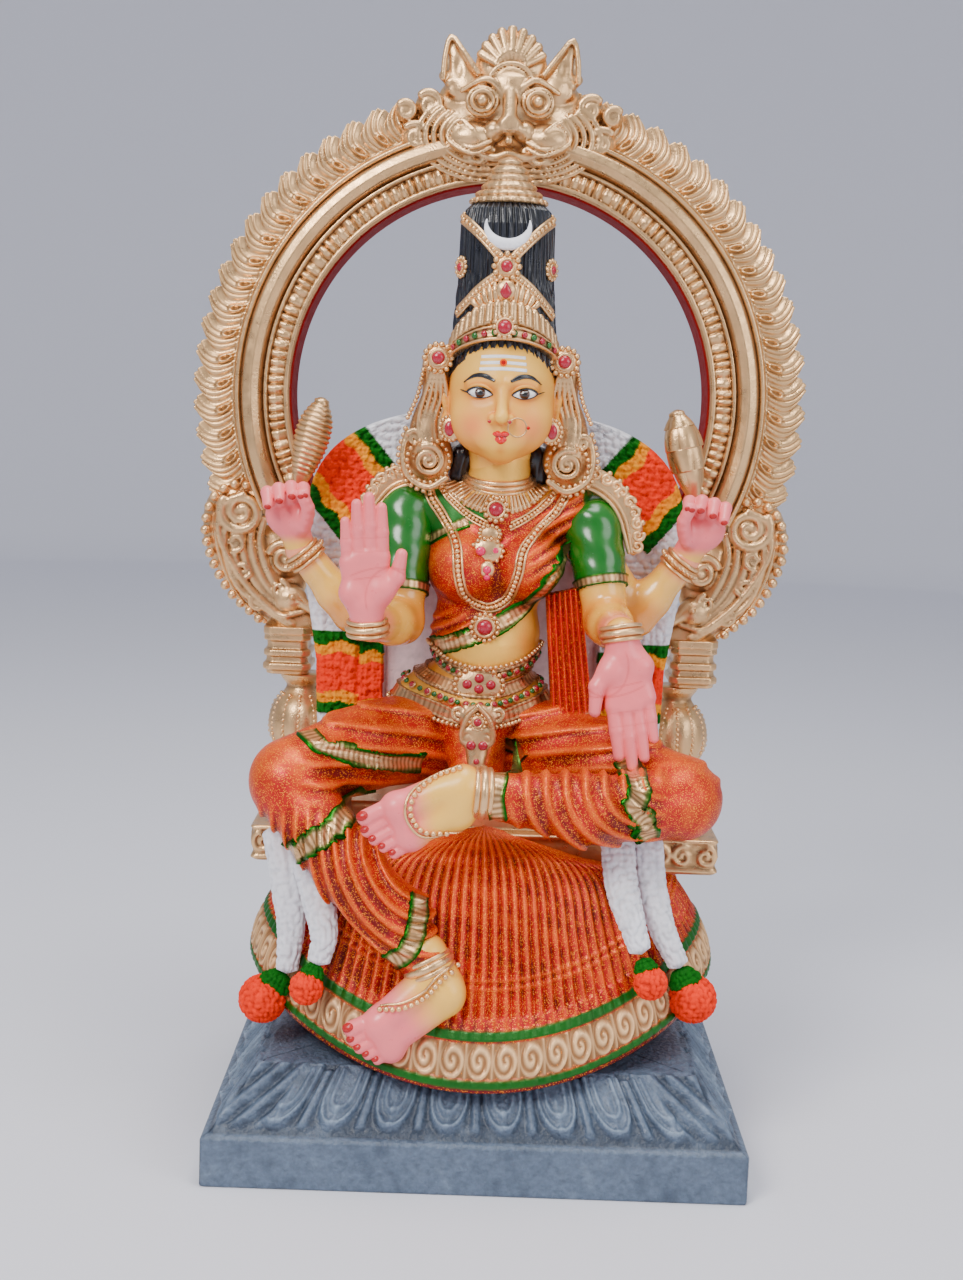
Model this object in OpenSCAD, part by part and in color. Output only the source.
// A seated four-armed deity figure on a lotus plinth, framed by a ring arch with a lion-face crest.
// Millimetres. +Z is up, the figure faces -Y, and the origin is the centre of the plinth's underside.

/* [Plinth] */
// Width of the plinth at the floor
plinth_w = 280; // [270:2:300]
// Depth of the plinth at the floor
plinth_d = 230; // [224:2:250]
// Height of the straight lower block
block_h = 28; // [22:1:32]
// Height of the plinth's top face
plinth_h = 58; // [52:1:62]
// Inset of the top face on each side
plinth_taper = 28; // [22:1:32]
// Thickness of the moulded plinth wall
plinth_wall = 8; // [6:1:10]
// Thickness of the closing board
board_t = 6; // [4:1:8]

/* [Throne] */
// Width of the seat box
seat_w = 256; // [248:2:262]
// Height of the seat box's underside
seat_z = 148; // [144:1:152]
// Height of the seat box
seat_h = 22; // [18:1:24]
// Thickness of the white back panel
panel_t = 12; // [8:1:14]
// Height of the back panel's crown
panel_top = 397; // [390:1:400]

/* [Arch] */
// Outer radius of the ring, flame border included
ring_r = 177; // [172:1:180]
// Inner radius of the ring
ring_bore_r = 120; // [116:1:122]
// Height of the ring's centre
ring_z = 404; // [400:1:408]
// Depth of the ring from front to back
ring_t = 36; // [30:1:40]
// Height of the crest's tip
crest_z = 610; // [600:1:616]

/* [Figure] */
// Height of the seated knees
knee_z = 199; // [195:1:203]
// Half distance between the knees
knee_x = 104; // [100:1:108]
// Height of the shoulders
shoulder_z = 336; // [332:1:340]
// Half distance between the shoulders
shoulder_x = 52; // [48:1:54]
// Height of the head's centre
head_z = 402; // [400:1:404]
// Height of the top of the hair tower
hair_top = 508; // [504:1:512]

/* [Nose ring] */
// Radius of the nose ring to the middle of its wire
nose_ring_r = 4.9; // [4.5:0.1:5.5]
// Radius of the wire
nose_wire_r = 0.4; // [0.35:0.05:0.45]
// Radius of the nostril post that the ring's eye turns on
nose_post_r = 0.6; // [0.5:0.1:0.7]
// Radial clearance of the eye on its post
nose_clear = 0.08; // [0.05:0.01:0.1]

/* [Hidden] */

round_fn = 16;      // facets of a body part's hulled spheres
smooth_fn = 64;     // facets drawn on a turned part
screw_x = 105;      // base screw places
screw_y = 80;
panel_y = 48;       // front face of the back panel
panel_half = 109;   // half its width at the shoulders
panel_shoulder_z = 320;
ring_front = 50;    // front face of the ring
ring_y = ring_front + ring_t / 2;
border_w = 25;      // width of the flame border
pillar_x = 119;
pillar_y = ring_y;
seat_leg_r = 8;     // the turned back legs round the dowels
vase_x = 111;      // the arch dowels run up through the vases' middles
skirt_front = 108;  // reach of the hem in front of the origin
skirt_side = 129;   // half width of the hem
lap_z = 172;        // height of the pleats' gathered top
head_r = 27;
head_y = -2;
hair_y = 6;
nostril = [5.4, head_y - 32.4, 391.8];            // where the ring turns on the nostril's post
nose_post_l = 13;   // length of a nostril post, most of it inside the nose
nose_ring_centre = nostril + [nose_ring_r * cos(35), 0, -nose_ring_r * sin(35)];

// the body's landmarks; x is negative on the figure's own right
hip = [26, 14, 214];
knee_r = [-knee_x, -62, knee_z + 3];
knee_l = [knee_x, -56, knee_z - 2];
ankle_r = [-27, -98, 112];
ankle_l = [-4, -95, 204];
toes_r = [-60, -112, 72];
heel_r = [-14, -104, 92];
toes_l = [-57, -99, 184];
elbow_rf = [-50, -8, 281];
elbow_lf = [63, -4, 284];
wrist_rf = [-64, -50, 284];
wrist_lf = [67, -44, 284];
elbow_rr = [-80, 29, 281];
elbow_lr = [82, 29, 284];
wrist_rr = [-109, 23, 316];
wrist_lr = [107, 23, 318];
fist_rr = [-114, 18, 334];
fist_lr = [116, 18, 336];

// a ball hulled to another, the plain form of a limb
module limb(p, q, rp, rq) {
    hull() {
        translate(p) sphere(rp, $fn = round_fn);
        translate(q) sphere(rq, $fn = round_fn);
    }
}

// a rod between two points
module rod(p, q, r) {
    v = q - p;
    translate(p) rotate([0, acos(v.z / norm(v)), atan2(v.y, v.x)]) cylinder(h = norm(v), r = r, $fn = smooth_fn);
}

// a band round the axis from p to q: a short tube with its own bore
module band(p, q, r_in, r_out, w) {
    v = q - p;
    translate(p) rotate([0, acos(v.z / norm(v)), atan2(v.y, v.x)])
        difference() {
            cylinder(h = w, r = r_out, center = true, $fn = smooth_fn);
            cylinder(h = w + 2, r = r_in, center = true, $fn = smooth_fn);
        }
}

// an outline in the figure's front plane, given depth towards the back
module plate(y_front, t) {
    translate([0, y_front + t, 0]) rotate([90, 0, 0]) linear_extrude(t) children();
}

// a frustum with a rectangular foot and head
module tapered_block(w, d, inset, h) {
    hull() {
        translate([-w / 2, -d / 2, 0]) cube([w, d, 0.01]);
        translate([-w / 2 + inset, -d / 2 + inset, h - 0.01]) cube([w - 2 * inset, d - 2 * inset, 0.01]);
    }
}

module plinth_shell() {
    color("slategray") difference() {
        union() {
            translate([-plinth_w / 2, -plinth_d / 2, 0]) cube([plinth_w, plinth_d, block_h]);
            translate([0, 0, block_h - 0.01])
                tapered_block(plinth_w, plinth_d, plinth_taper, plinth_h - block_h + 0.01);
        }
        translate([-plinth_w / 2 + plinth_wall, -plinth_d / 2 + plinth_wall, -1])
            cube([plinth_w - 2 * plinth_wall, plinth_d - 2 * plinth_wall, board_t + 1]);
        translate([0, 0, board_t - 0.01])
            tapered_block(plinth_w - 6 * plinth_wall, plinth_d - 6 * plinth_wall,
                          plinth_taper / 2, plinth_h - board_t - plinth_wall);
        for (x = [-vase_x, vase_x]) // sockets of the two arch dowels
            translate([x, pillar_y, plinth_h - 2 * plinth_wall]) cylinder(h = 3 * plinth_wall, r = 4, $fn = smooth_fn);
    }
}

module base_board() {
    color("burlywood") difference() {
        translate([-plinth_w / 2 + plinth_wall + 0.5, -plinth_d / 2 + plinth_wall + 0.5, 0])
            cube([plinth_w - 2 * plinth_wall - 1, plinth_d - 2 * plinth_wall - 1, board_t - 0.2]);
        for (x = [-screw_x, screw_x], y = [-screw_y, screw_y])
            translate([x, y, -1]) cylinder(h = board_t + 2, r = 4.2, $fn = smooth_fn);
    }
}

module base_screws() {
    color("silver") for (x = [-screw_x, screw_x], y = [-screw_y, screw_y])
        translate([x, y, 0.6]) {
            cylinder(h = 2.2, r1 = 4, r2 = 2, $fn = smooth_fn);
            translate([0, 0, 2.1]) cylinder(h = 13, r = 2, $fn = smooth_fn);
        }
}

module throne_seat() {
    color("goldenrod") difference() {
        union() {
            translate([-seat_w / 2, -26, seat_z]) cube([seat_w, 112, seat_h]);
            translate([-seat_w / 2 + 8, -16, seat_z + seat_h - 0.01]) cube([seat_w - 16, 102, 12]);
            for (x = [-vase_x, vase_x]) // the two back legs
                translate([x, pillar_y, plinth_h]) cylinder(h = seat_z - plinth_h + 1, r = seat_leg_r, $fn = smooth_fn);
        }
        for (x = [-vase_x, vase_x]) // dowel holes, right through the legs and the seat
            translate([x, pillar_y, plinth_h - 1]) cylinder(h = seat_z - plinth_h + seat_h + 20, r = 4, $fn = smooth_fn);
    }
}

// broad-shouldered outline of the back panel, shrunk by inset: its sides lean
// out from the seat and its head is a flattened arch
module panel_outline(inset = 0) {
    half = panel_half - inset;
    rise = panel_top - inset - panel_shoulder_z;
    head = [for (a = [0:3:90]) [half * pow(1 - pow(sin(a), 3), 0.4), panel_shoulder_z + rise * sin(a)]];
    side = concat([[half - 10, seat_z + seat_h + 12], [half - 8, 250], [half, 300]], head);
    count = len(side);
    polygon(concat(side, [for (k = [count - 2:-1:0]) [-side[k][0], side[k][1]]]));
}

module back_panel() {
    color("white") plate(panel_y, panel_t) panel_outline();
}

module garland_band() {
    color("white") plate(panel_y - 5, 5) difference() {
        panel_outline(1);
        translate([0, 316]) circle(46, $fn = 48);
        translate([-40, 150]) square([80, 166]);
    }
}

module flower_band(x, z, turn, w, h) {
    translate([x, panel_y - 9, z]) rotate([0, turn, 0]) translate([-w / 2, 0, -h / 2]) cube([w, 4, h]);
}

module garland_flower_bands() {
    color("coral") {
        flower_band(-84, 356, -38, 34, 44);
        flower_band(86, 356, 38, 34, 44);
        flower_band(-82, 245, 0, 38, 46);
        flower_band(78, 248, 0, 36, 46);
    }
}

module garland_tail(side) {
    color("white") hull() {
        translate([side * 82, -66, 162]) sphere(6, $fn = round_fn);
        translate([side * 100, -50, 160]) sphere(6, $fn = round_fn);
        translate([side * 94, -82, 104]) sphere(5, $fn = round_fn);
        translate([side * 114, -62, 102]) sphere(5, $fn = round_fn);
    }
}

module tassels(side) {
    color("coral") {
        translate([side * 118, -64, 84]) sphere(13.5, $fn = 48);
        translate([side * 95, -92, 93]) sphere(9, $fn = 48);
    }
    color("green") {
        translate([side * 115, -65, 93]) cylinder(h = 10, r1 = 10, r2 = 6, $fn = smooth_fn);
        translate([side * 94, -90, 99]) cylinder(h = 7, r1 = 7, r2 = 4, $fn = smooth_fn);
    }
}

// the ring's turned moulding, without the flame border
module arch_ring() {
    r0 = ring_bore_r;
    r1 = ring_r - border_w;
    color("goldenrod") difference() {
        translate([0, ring_y, ring_z]) rotate([90, 0, 0]) rotate_extrude($fn = 128)
            polygon([
                [r0, -ring_t / 2], [r1, -ring_t / 2], [r1, ring_t / 2 - 4], [r1 - 4, ring_t / 2],
                [r0 + 16, ring_t / 2], [r0 + 12, ring_t / 2 - 5], [r0, ring_t / 2 - 7]
            ]);
        translate([-ring_r, ring_y - ring_t, ring_z - ring_r]) cube([2 * ring_r, 2 * ring_t, ring_r - 72]);
    }
}

module arch_flame_border() {
    color("gold") difference() {
        translate([0, ring_y, ring_z]) rotate([90, 0, 0]) rotate_extrude($fn = 128)
            translate([ring_r - border_w + 0.2, -ring_t / 2 + 4]) square([border_w - 0.2, ring_t - 10]);
        translate([-ring_r - 1, ring_y - ring_t, ring_z - ring_r - 1])
            cube([2 * ring_r + 2, 2 * ring_t, ring_r + 1 - 72]);
        translate([-44, ring_y - ring_t, ring_z + ring_r - border_w - 6]) cube([88, 2 * ring_t, border_w + 8]);
    }
}

module lion_face_crest() {
    z0 = ring_z + ring_bore_r + 7;
    color("gold") plate(ring_front - 12, 11.8) hull() {
        translate([-24, z0 + 16]) circle(15, $fn = 32);
        translate([24, z0 + 16]) circle(15, $fn = 32);
    }
    color("gold") plate(ring_front + 4, ring_t - 12) difference() {
        union() {
            polygon([[-42, ring_z + ring_r - 26], [-36, crest_z - 10], [-20, crest_z - 16], [-15, crest_z - 12],
                     [0, crest_z], [15, crest_z - 12], [20, crest_z - 16], [36, crest_z - 10],
                     [42, ring_z + ring_r - 26]]);
        }
        translate([0, ring_z]) circle(ring_r - border_w + 0.3, $fn = 128);
    }
}

module makara(side) {
    color("gold") mirror([side < 0 ? 1 : 0, 0, 0]) plate(ring_front - 2, ring_t - 6) difference() {
        union() {
            translate([151, 335]) circle(17, $fn = 48);
            translate([136, 302]) circle(26, $fn = 48);
            polygon([[112, 268], [146, 268], [162, 300], [166, 330], [134, 345], [122, 300]]);
        }
        translate([0, ring_z]) circle(ring_r + 0.3, $fn = 128);
    }
}

module arch_pillar(side) {
    color("goldenrod") translate([side * pillar_x - 14, pillar_y - 18, 240]) cube([28, 36, 28]);
}

module arch_vase(side) {
    color("gold") difference() {
        translate([side * vase_x, pillar_y, 0]) rotate_extrude($fn = smooth_fn)
            polygon([
                [0, seat_z + seat_h + 12], [12, seat_z + seat_h + 12], [12, 188], [18, 200], [19, 212],
                [16, 224], [10, 232], [14, 239.8], [0, 239.8]
            ]);
        translate([side * vase_x, pillar_y, seat_z]) cylinder(h = 100, r = 4, $fn = smooth_fn);
    }
}

module arch_dowels() {
    color("silver") for (x = [-vase_x, vase_x])
        translate([x, pillar_y, plinth_h - 2 * plinth_wall]) cylinder(h = 190, r = 3.95, $fn = smooth_fn);
}

// one level of the skirt: half width, reach in front, reach behind, height in front, height at the sides
skirt_levels = [
    [108, 92, 84, plinth_h + 0.2, plinth_h + 0.2],
    [126, 104, 88, 62, 88],
    [skirt_side, skirt_front, 88, 66, 98],
    [118, 98, 87, 92, 122],
    [100, 74, 86, lap_z - 20, seat_z - 2],
    [78, 60, 40, lap_z, seat_z - 1]
];
skirt_steps = 40;

function skirt_point(level, a) = [
    level[0] * cos(a),
    (sin(a) < 0 ? level[1] : level[2]) * sin(a),
    level[3] + (level[4] - level[3]) * (sin(a) < 0 ? pow(cos(a), 2) : 1)
];

module skirt_fan() {
    n = skirt_steps;
    rings = len(skirt_levels);
    points = [
        for (level = skirt_levels, i = [0 : n - 1]) skirt_point(level, 360 * i / n),
        [0, 0, plinth_h + 0.2],
        [0, 0, lap_z - 6]
    ];
    color("orangered") polyhedron(points, [
        for (k = [0 : rings - 2], i = [0 : n - 1])
            each [[k * n + i, (k + 1) * n + i, k * n + (i + 1) % n],
                  [k * n + (i + 1) % n, (k + 1) * n + i, (k + 1) * n + (i + 1) % n]],
        for (i = [0 : n - 1]) [rings * n, i, (i + 1) % n],
        for (i = [0 : n - 1]) [rings * n + 1, (rings - 1) * n + (i + 1) % n, (rings - 1) * n + i]
    ]);
}

module right_thigh() { color("orangered") limb([-hip.x, hip.y, hip.z], knee_r, 27, 20); }

module right_shin() { color("orangered") limb(knee_r - [0, 6, 12], ankle_r, 19, 13); }

module right_foot() {
    color("peachpuff") hull() {
        translate(ankle_r) sphere(10, $fn = round_fn);
        translate(heel_r) sphere(9, $fn = round_fn);
        translate(toes_r) sphere(8, $fn = round_fn);
        translate(toes_r + [14, 2, -4]) sphere(7, $fn = round_fn);
    }
}

module left_thigh() { color("orangered") limb(hip, knee_l, 27, 21); }

module left_shin() { color("orangered") limb(knee_l - [2, 8, 4], ankle_l, 19, 13); }

module left_foot() {
    color("peachpuff") hull() {
        translate(ankle_l + [-4, 0, 0]) sphere(10, $fn = round_fn);
        translate([-30, -98, 199]) sphere(9, $fn = round_fn);
        translate(toes_l + [0, 0, 8]) sphere(7, $fn = round_fn);
        translate(toes_l + [12, 0, -9]) sphere(7, $fn = round_fn);
    }
}

module torso() {
    color("darkorange") {
        hull() for (x = [-1, 1]) {
            translate([x * (shoulder_x - 8), 16, shoulder_z - 2]) sphere(15, $fn = round_fn);
            translate([x * 22, 2, 312]) sphere(21, $fn = round_fn);
        }
        hull() for (x = [-1, 1]) {
            translate([x * 20, 8, 304]) sphere(20, $fn = round_fn);
            translate([x * 15, 14, 262]) sphere(19, $fn = round_fn);
        }
        hull() for (x = [-1, 1]) {
            translate([x * 15, 14, 262]) sphere(19, $fn = round_fn);
            translate([x * 24, 16, 226]) sphere(24, $fn = round_fn);
        }
        limb([0, 6, 345], [0, 4, 374], 18, 16);
    }
}

module pallu() {
    color("red") hull() {
        translate([32, 2, 306]) sphere(6, $fn = round_fn);
        translate([48, 4, 300]) sphere(6, $fn = round_fn);
        translate([36, -8, 226]) sphere(6, $fn = round_fn);
        translate([54, -6, 226]) sphere(6, $fn = round_fn);
    }
}

module sleeved_arm(shoulder, elbow, wrist, r) {
    color("green") limb(shoulder, elbow, r + 3, r);
    color("peachpuff") limb(elbow, wrist, r - 0.5, 9);
}

module right_front_arm() { sleeved_arm([-shoulder_x, 10, shoulder_z], elbow_rf, wrist_rf, 13); }

module left_front_arm() { sleeved_arm([shoulder_x + 6, 10, shoulder_z], elbow_lf, wrist_lf, 13); }

module right_rear_arm() { sleeved_arm([-shoulder_x + 6, 26, shoulder_z - 6], elbow_rr, wrist_rr, 11); }

module left_rear_arm() { sleeved_arm([shoulder_x - 2, 26, shoulder_z - 6], elbow_lr, wrist_lr, 11); }

// an open hand: a palm, four fingers in line and a thumb held off
module open_hand(wrist, tip, thumb) {
    mid = wrist + (tip - wrist) * 0.48;
    across = thumb.x > mid.x ? 1 : -1;
    color("pink") {
        hull() {
            translate(wrist) sphere(8, $fn = round_fn);
            translate(mid + [11, 0, 0]) sphere(5.5, $fn = round_fn);
            translate(mid - [11, 0, 0]) sphere(5.5, $fn = round_fn);
        }
        hull() for (x = [-1, 1]) {
            translate(mid + [x * 11, 0, 0]) sphere(5, $fn = round_fn);
            translate(tip + [x * 7, 0, 0]) sphere(4.4, $fn = round_fn);
        }
        limb(wrist + [across * 8, -2, (mid.z - wrist.z) / 2], thumb, 6, 4);
    }
}

module right_front_hand() { open_hand(wrist_rf + [0, -4, 6], [-62, -60, 351], [-42, -58, 322]); }

module left_front_hand() { open_hand(wrist_lf + [2, -6, -4], [82, -66, 219], [97, -58, 238]); }

module fist(wrist, centre) {
    color("pink") {
        limb(wrist, centre, 9, 12);
        translate(centre + [0, -2, 10]) sphere(9, $fn = round_fn);
    }
}

module right_rear_hand() { fist(wrist_rr, fist_rr); }

module left_rear_hand() { fist(wrist_lr, fist_lr); }

// a closed lotus bud on its short stem
module lotus_bud(foot, tip) {
    v = tip - foot;
    color("gold") translate(foot) rotate([0, acos(v.z / norm(v)), atan2(v.y, v.x)])
        rotate_extrude($fn = smooth_fn) polygon([
            [0, 0], [4, 0], [6, 10], [11, 24], [12, 34], [9, 44], [4.5, 52], [0, norm(v)]
        ]);
}

module right_lotus_bud() { lotus_bud(fist_rr + [4, 4, 8], [-98, 26, 400]); }

module left_lotus_bud() { lotus_bud(fist_lr + [-4, 4, 8], [98, 26, 401]); }

module head() {
    color("wheat") {
        hull() {
            translate([0, head_y, head_z + 8]) sphere(head_r, $fn = 20);
            translate([0, head_y - 4, head_z - 18]) sphere(15, $fn = 20);
        }
        limb([0, nostril.y + 5, nostril.z + 2], [0, head_y - 20, nostril.z + 14], 3, 5);
    }
}

module hair_tower() {
    color("black") translate([0, hair_y, 0]) rotate_extrude($fn = smooth_fn) polygon([
        [0, head_z + 22], [26, head_z + 22], [26.5, 440], [25, 462], [24.5, 480], [25, 492], [23, 500],
        [17, hair_top], [0, hair_top]
    ]);
}

module hair_finial() {
    color("gold") translate([0, hair_y, hair_top + 0.1]) rotate_extrude($fn = smooth_fn) polygon([
        [0, 0], [19, 0], [19, 3], [15, 6], [12, 12], [11, 18], [7, 23], [0, 26]
    ]);
}

module crescent_moon() {
    color("white") plate(hair_y - 29, 6) difference() {
        translate([0, 493]) circle(13, $fn = 48);
        translate([0, 499]) circle(13, $fn = 48);
    }
}

module hair_straps() {
    color("gold") {
        for (side = [-1, 1]) {
            limb([0, hair_y - 26, 472], [side * 23, hair_y - 8, 498], 3, 2.5);
            limb([0, hair_y - 26, 470], [side * 24, hair_y - 12, 446], 3, 2.5);
        }
        translate([0, hair_y - 24, 472]) rotate([90, 0, 0]) cylinder(h = 5, r = 8, $fn = smooth_fn);
    }
}

module tiara() {
    color("gold") translate([0, hair_y - 2, 424]) difference() {
        cylinder(h = 20, r1 = 31, r2 = 29, $fn = smooth_fn);
        translate([0, 0, -1]) cylinder(h = 22, r = 27.2, $fn = smooth_fn);
        translate([-40, 8, -1]) cube([80, 40, 22]);
    }
}

module hair_ornament(side) {
    color("gold") {
        translate([side * 34, -6, 420]) rotate([90, 0, 0]) cylinder(h = 6, r = 11, $fn = smooth_fn);
        hull() {
            translate([side * 35, 4, 412]) sphere(6, $fn = round_fn);
            translate([side * 37, 6, 376]) sphere(8, $fn = round_fn);
        }
        translate([side * 36, 6, 366]) rotate([90, 0, 0]) cylinder(h = 9, r = 14, $fn = smooth_fn);
    }
}

module nose_studs() {
    color("crimson") for (side = [-1, 1])
        translate([side * nostril.x, nostril.y + nose_post_l - 0.9, nostril.z]) rotate([90, 0, 0]) {
            cylinder(h = nose_post_l, r = nose_post_r, $fn = smooth_fn);
            translate([0, 0, nose_post_l - 0.01]) cylinder(h = 0.8, r = 1.3, $fn = smooth_fn);
        }
}

module nose_ring() {
    eye_r = nose_post_r + nose_clear;
    color("gold") {
        difference() {
            union() {
                translate(nostril) rotate([90, 0, 0])
                    cylinder(h = 2 * nose_wire_r, r = eye_r + 0.7, center = true, $fn = smooth_fn);
                translate(nose_ring_centre) rotate([90, 0, 0]) rotate_extrude($fn = smooth_fn)
                    translate([nose_ring_r, 0]) circle(nose_wire_r, $fn = 24);
                translate(nose_ring_centre + [nose_ring_r + 0.9, 0, 0]) sphere(0.9, $fn = 24);
            }
            translate(nostril) rotate([90, 0, 0]) cylinder(h = 6, r = eye_r, center = true, $fn = smooth_fn);
        }
    }
}

module choker() {
    color("gold") translate([0, 3, 346]) difference() {
        cylinder(h = 10, r1 = 31, r2 = 21, $fn = smooth_fn);
        translate([0, 0, -1]) cylinder(h = 12, r = 20, $fn = smooth_fn);
    }
}

// a hanging chain: limbs through a list of points
module chain(points, r) {
    for (i = [0 : len(points) - 2]) limb(points[i], points[i + 1], r, r);
}

module short_necklace() {
    color("gold") {
        chain([[-26, -4, 350], [-16, -18, 334], [0, -24, 326], [16, -18, 334], [26, -4, 350]], 2.2);
        translate([0, -22, 312]) rotate([90, 0, 0]) cylinder(h = 5, r = 9, $fn = smooth_fn);
    }
}

module long_necklace() {
    color("gold") {
        chain([[-30, -2, 346], [-24, -20, 316], [-12, -24, 288], [0, -20, 283], [14, -24, 288], [26, -20, 316],
               [32, -2, 346]], 2.4);
        translate([0, -14, 272]) rotate([90, 0, 0]) cylinder(h = 6, r = 9, $fn = smooth_fn);
    }
}

module waist_belt() {
    color("gold") {
        translate([0, 14, 226]) difference() {
            cylinder(h = 26, r1 = 46, r2 = 38, $fn = smooth_fn);
            translate([0, 0, -1]) cylinder(h = 28, r = 35, $fn = smooth_fn);
            translate([-60, 22, -1]) cube([120, 60, 28]);
        }
        translate([0, -32, 214]) rotate([90, 0, 0]) cylinder(h = 6, r = 11, $fn = smooth_fn);
    }
}

module shoulder_crest(side) {
    color("gold") hull() {
        translate([side * 38, 10, 354]) rotate([90, 0, 0]) cylinder(h = 4, r = 6, $fn = 20);
        translate([side * 64, 12, 346]) rotate([90, 0, 0]) cylinder(h = 4, r = 6, $fn = 20);
        translate([side * 74, 12, 318]) rotate([90, 0, 0]) cylinder(h = 4, r = 5, $fn = 20);
    }
}

module bangles() {
    color("gold") {
        band(wrist_rf, wrist_rf + [0, -4, 10], 9.2, 11.6, 5);
        band(wrist_lf, wrist_lf + [0, -10, -6], 9.2, 11.6, 5);
        band(wrist_rr, fist_rr, 9.2, 11.8, 6);
        band(wrist_lr, fist_lr, 9.2, 11.8, 6);
    }
}

module anklets() {
    color("gold") {
        band(ankle_r, toes_r, 11.5, 14, 5);
        band(ankle_l + [-6, 0, 0], ankle_l + [-20, -1, -2], 13, 15.5, 5);
    }
}

module armature_wires() {
    color("silver") {
        rod([-shoulder_x, 10, shoulder_z], elbow_rf, 1.6);
        rod([shoulder_x + 6, 10, shoulder_z], elbow_lf, 1.6);
        rod(elbow_rr, wrist_rr, 1.6);
        rod(elbow_lr, wrist_lr, 1.6);
    }
}

plinth_shell();
base_board();
base_screws();
throne_seat();
back_panel();
garland_band();
garland_flower_bands();
garland_tail(1);  // garland_tail_left
garland_tail(-1);  // garland_tail_right
tassels(1);  // tassels_left
tassels(-1);  // tassels_right
arch_ring();
arch_flame_border();
lion_face_crest();
makara(1);  // makara_left
makara(-1);  // makara_right
arch_pillar(1);  // arch_pillar_left
arch_pillar(-1);  // arch_pillar_right
arch_vase(1);  // arch_vase_left
arch_vase(-1);  // arch_vase_right
arch_dowels();
skirt_fan();
right_thigh();
right_shin();
right_foot();
left_thigh();
left_shin();
left_foot();
torso();
pallu();
right_front_arm();
right_front_hand();
left_front_arm();
left_front_hand();
right_rear_arm();
right_rear_hand();
left_rear_arm();
left_rear_hand();
right_lotus_bud();
left_lotus_bud();
head();
hair_tower();
hair_finial();
crescent_moon();
hair_straps();
tiara();
hair_ornament(1);  // hair_ornament_left
hair_ornament(-1);  // hair_ornament_right
nose_studs();
nose_ring();
choker();
short_necklace();
long_necklace();
waist_belt();
shoulder_crest(1);  // shoulder_crest_left
shoulder_crest(-1);  // shoulder_crest_right
bangles();
anklets();
armature_wires();
